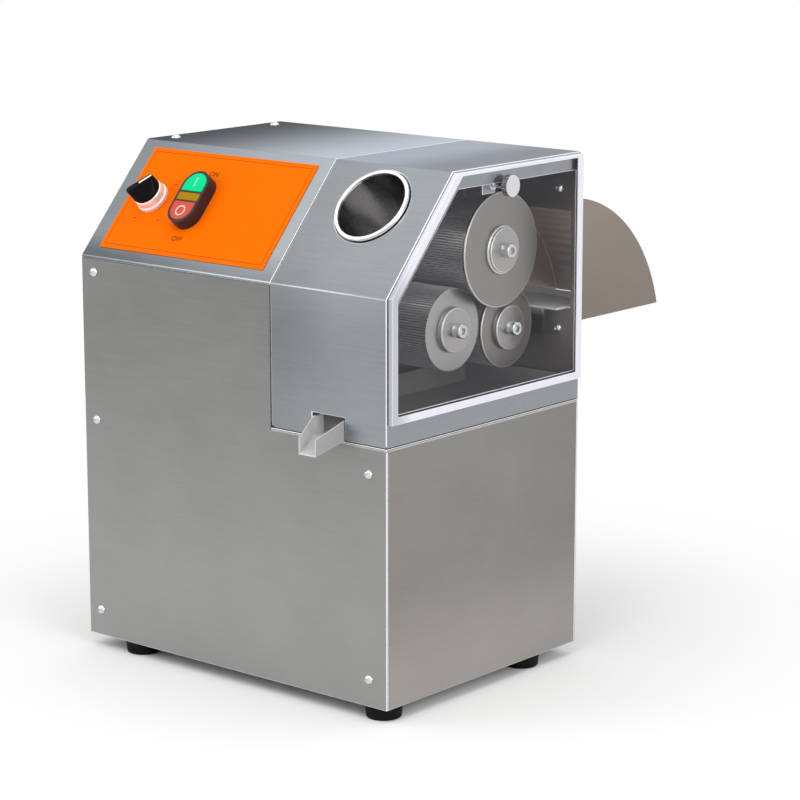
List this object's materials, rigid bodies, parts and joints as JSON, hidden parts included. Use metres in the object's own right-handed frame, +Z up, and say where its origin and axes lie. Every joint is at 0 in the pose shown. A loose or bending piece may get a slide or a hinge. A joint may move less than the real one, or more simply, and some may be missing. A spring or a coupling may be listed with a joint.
{
  "type": "sugarcane juicer",
  "caption": "Countertop electric sugarcane juicer: steel cabinet, geared grooved rollers behind a clear side window, slanted feed tube, front juice spout and rear outlet hood.",
  "frame": {"origin": "on the floor under the middle of the overall box", "axes": "+Z up, +X towards the clear side window, +Y from the spout at the front to the hood at the rear"},
  "size_m": [0.3704, 0.4196, 0.4648],
  "materials": {
    "brushed_stainless": "brushed",
    "dull_stainless": "mill",
    "turned_steel": "turned",
    "fastener_steel": "polished",
    "gear_steel": "machined",
    "cast_housing": "cast",
    "black_rubber": "matt",
    "black_plastic": "satin",
    "orange_overlay": "satin film",
    "bright_bezel": "bright",
    "green_plastic": "moulded",
    "red_plastic": "moulded",
    "amber_lens": "translucent",
    "clear_acrylic": "clear",
    "pale_trim": "extruded"
  },
  "bodies": {
    "cabinet": {"base_pan": "dull_stainless", "rubber_feet": "black_rubber", "front_panel": "brushed_stainless", "left_panel": "brushed_stainless", "right_panel": "brushed_stainless", "rear_panel": "brushed_stainless", "control_top": "brushed_stainless", "panel_screws": "fastener_steel", "cable_gland": "black_plastic", "deck_plate": "brushed_stainless", "chamber_wall": "dull_stainless", "chamber_rear_wall": "dull_stainless", "left_bearing_plate": "gear_steel", "right_bearing_plate": "gear_steel", "bearings": "gear_steel", "shaft_seals": "black_rubber", "tie_rods": "fastener_steel", "gearbox_case": "cast_housing", "gearbox_cover": "cast_housing", "motor_body": "cast_housing", "motor_end_bell": "cast_housing", "juice_tray": "dull_stainless", "bagasse_guide": "dull_stainless", "bagasse_hood": "brushed_stainless", "hood_bolts": "fastener_steel", "control_overlay": "orange_overlay", "selector_bezel": "bright_bezel", "button_housing": "black_plastic", "pilot_lens": "amber_lens", "switch_contacts": "black_plastic"},
    "top_roller_set": {"top_shaft": "turned_steel", "top_gear": "gear_steel", "bull_gear": "gear_steel", "top_roller": "turned_steel", "top_flange": "turned_steel", "top_washer": "turned_steel", "top_bolt": "fastener_steel"},
    "front_roller_set": {"front_shaft": "turned_steel", "front_gear": "gear_steel", "front_roller": "turned_steel", "front_washer": "turned_steel", "front_bolt": "fastener_steel"},
    "rear_roller_set": {"rear_shaft": "turned_steel", "rear_gear": "gear_steel", "rear_roller": "turned_steel", "rear_disc": "turned_steel", "rear_washer": "turned_steel", "rear_bolt": "fastener_steel"},
    "pinion": {"pinion_shaft": "gear_steel"},
    "cover": {"roller_cover": "brushed_stainless", "feed_tube": "turned_steel", "window_pane": "clear_acrylic", "window_trim": "pale_trim", "thumb_nut": "fastener_steel"},
    "thumb_screw": {"thumb_screw": "fastener_steel"},
    "selector": {"selector_knob": "black_plastic"},
    "green_button": {"green_button": "green_plastic"},
    "red_button": {"red_button": "red_plastic"}
  },
  "joints": [
    {"name": "top_roller_spin", "type": "hinge", "parent": "cabinet", "child": "top_roller_set", "pos_m": [0.11475, -0.00032, 0.382], "axis": [1, 0, 0], "continuous": true},
    {"name": "front_roller_spin", "type": "hinge", "parent": "cabinet", "child": "front_roller_set", "pos_m": [0.11475, -0.05034, 0.3164], "axis": [1, 0, 0], "continuous": true},
    {"name": "rear_roller_spin", "type": "hinge", "parent": "cabinet", "child": "rear_roller_set", "pos_m": [0.11475, 0.02618, 0.30784], "axis": [1, 0, 0], "continuous": true},
    {"name": "pinion_spin", "type": "hinge", "parent": "cabinet", "child": "pinion", "pos_m": [-0.04525, -0.01782, 0.29372], "axis": [1, 0, 0], "continuous": true},
    {"name": "selector_turn", "type": "hinge", "parent": "cabinet", "child": "selector", "pos_m": [-0.13585, -0.1387, 0.41476], "axis": [0, -0.7483, 0.6634], "range_deg": [0, 90]},
    {"name": "green_button_press", "type": "slide", "parent": "cabinet", "child": "green_button", "axis": [0, 0.7483, -0.6634], "range_m": [0, 0.003], "stiffness_N_per_m": 400, "springref_m": -0.002},
    {"name": "red_button_press", "type": "slide", "parent": "cabinet", "child": "red_button", "axis": [0, 0.7483, -0.6634], "range_m": [0, 0.003], "stiffness_N_per_m": 400, "springref_m": -0.002},
    {"name": "cover_lift", "type": "slide", "parent": "cabinet", "child": "cover", "axis": [0, 0, 1], "range_m": [0, 0.23]},
    {"name": "thumb_screw_turn", "type": "hinge", "parent": "cover", "child": "thumb_screw", "pos_m": [0.17475, -0.02832, 0.4435], "axis": [1, 0, 0], "continuous": true}
  ],
  "couplings": [
    {"joint": "front_roller_spin", "follows": "top_roller_spin", "ratio": -1.129},
    {"joint": "rear_roller_spin", "follows": "top_roller_spin", "ratio": -1.25},
    {"joint": "pinion_spin", "follows": "top_roller_spin", "ratio": -3.5}
  ]
}
